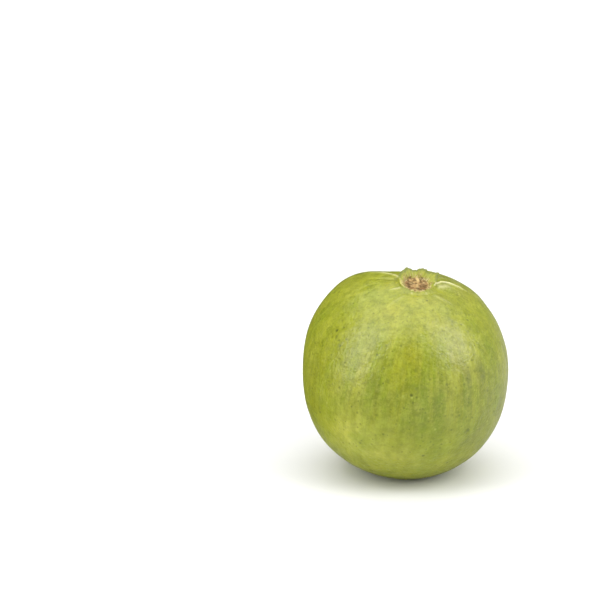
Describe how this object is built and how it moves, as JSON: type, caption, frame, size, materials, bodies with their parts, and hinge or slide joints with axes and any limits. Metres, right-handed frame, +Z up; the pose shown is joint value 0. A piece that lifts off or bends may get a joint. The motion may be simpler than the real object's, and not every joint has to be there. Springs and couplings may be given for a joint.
{
  "type": "guava",
  "caption": "Whole round green guava with a worn calyx crown round a corky disc, resting on a small flat spot beside its stem end.",
  "frame": {"origin": "in the flat spot that the fruit rests on, under the middle of the body", "axes": "+Z up; -Y is the side that the calyx leans towards, and +X is to the right of a viewer who faces that side"},
  "size_m": [0.0778, 0.0783, 0.0813],
  "materials": {
    "guava_skin": "semi-matte waxy fruit skin, mottled yellow-green"
  },
  "bodies": {
    "root": {"guava": "guava_skin"}
  },
  "joints": []
}
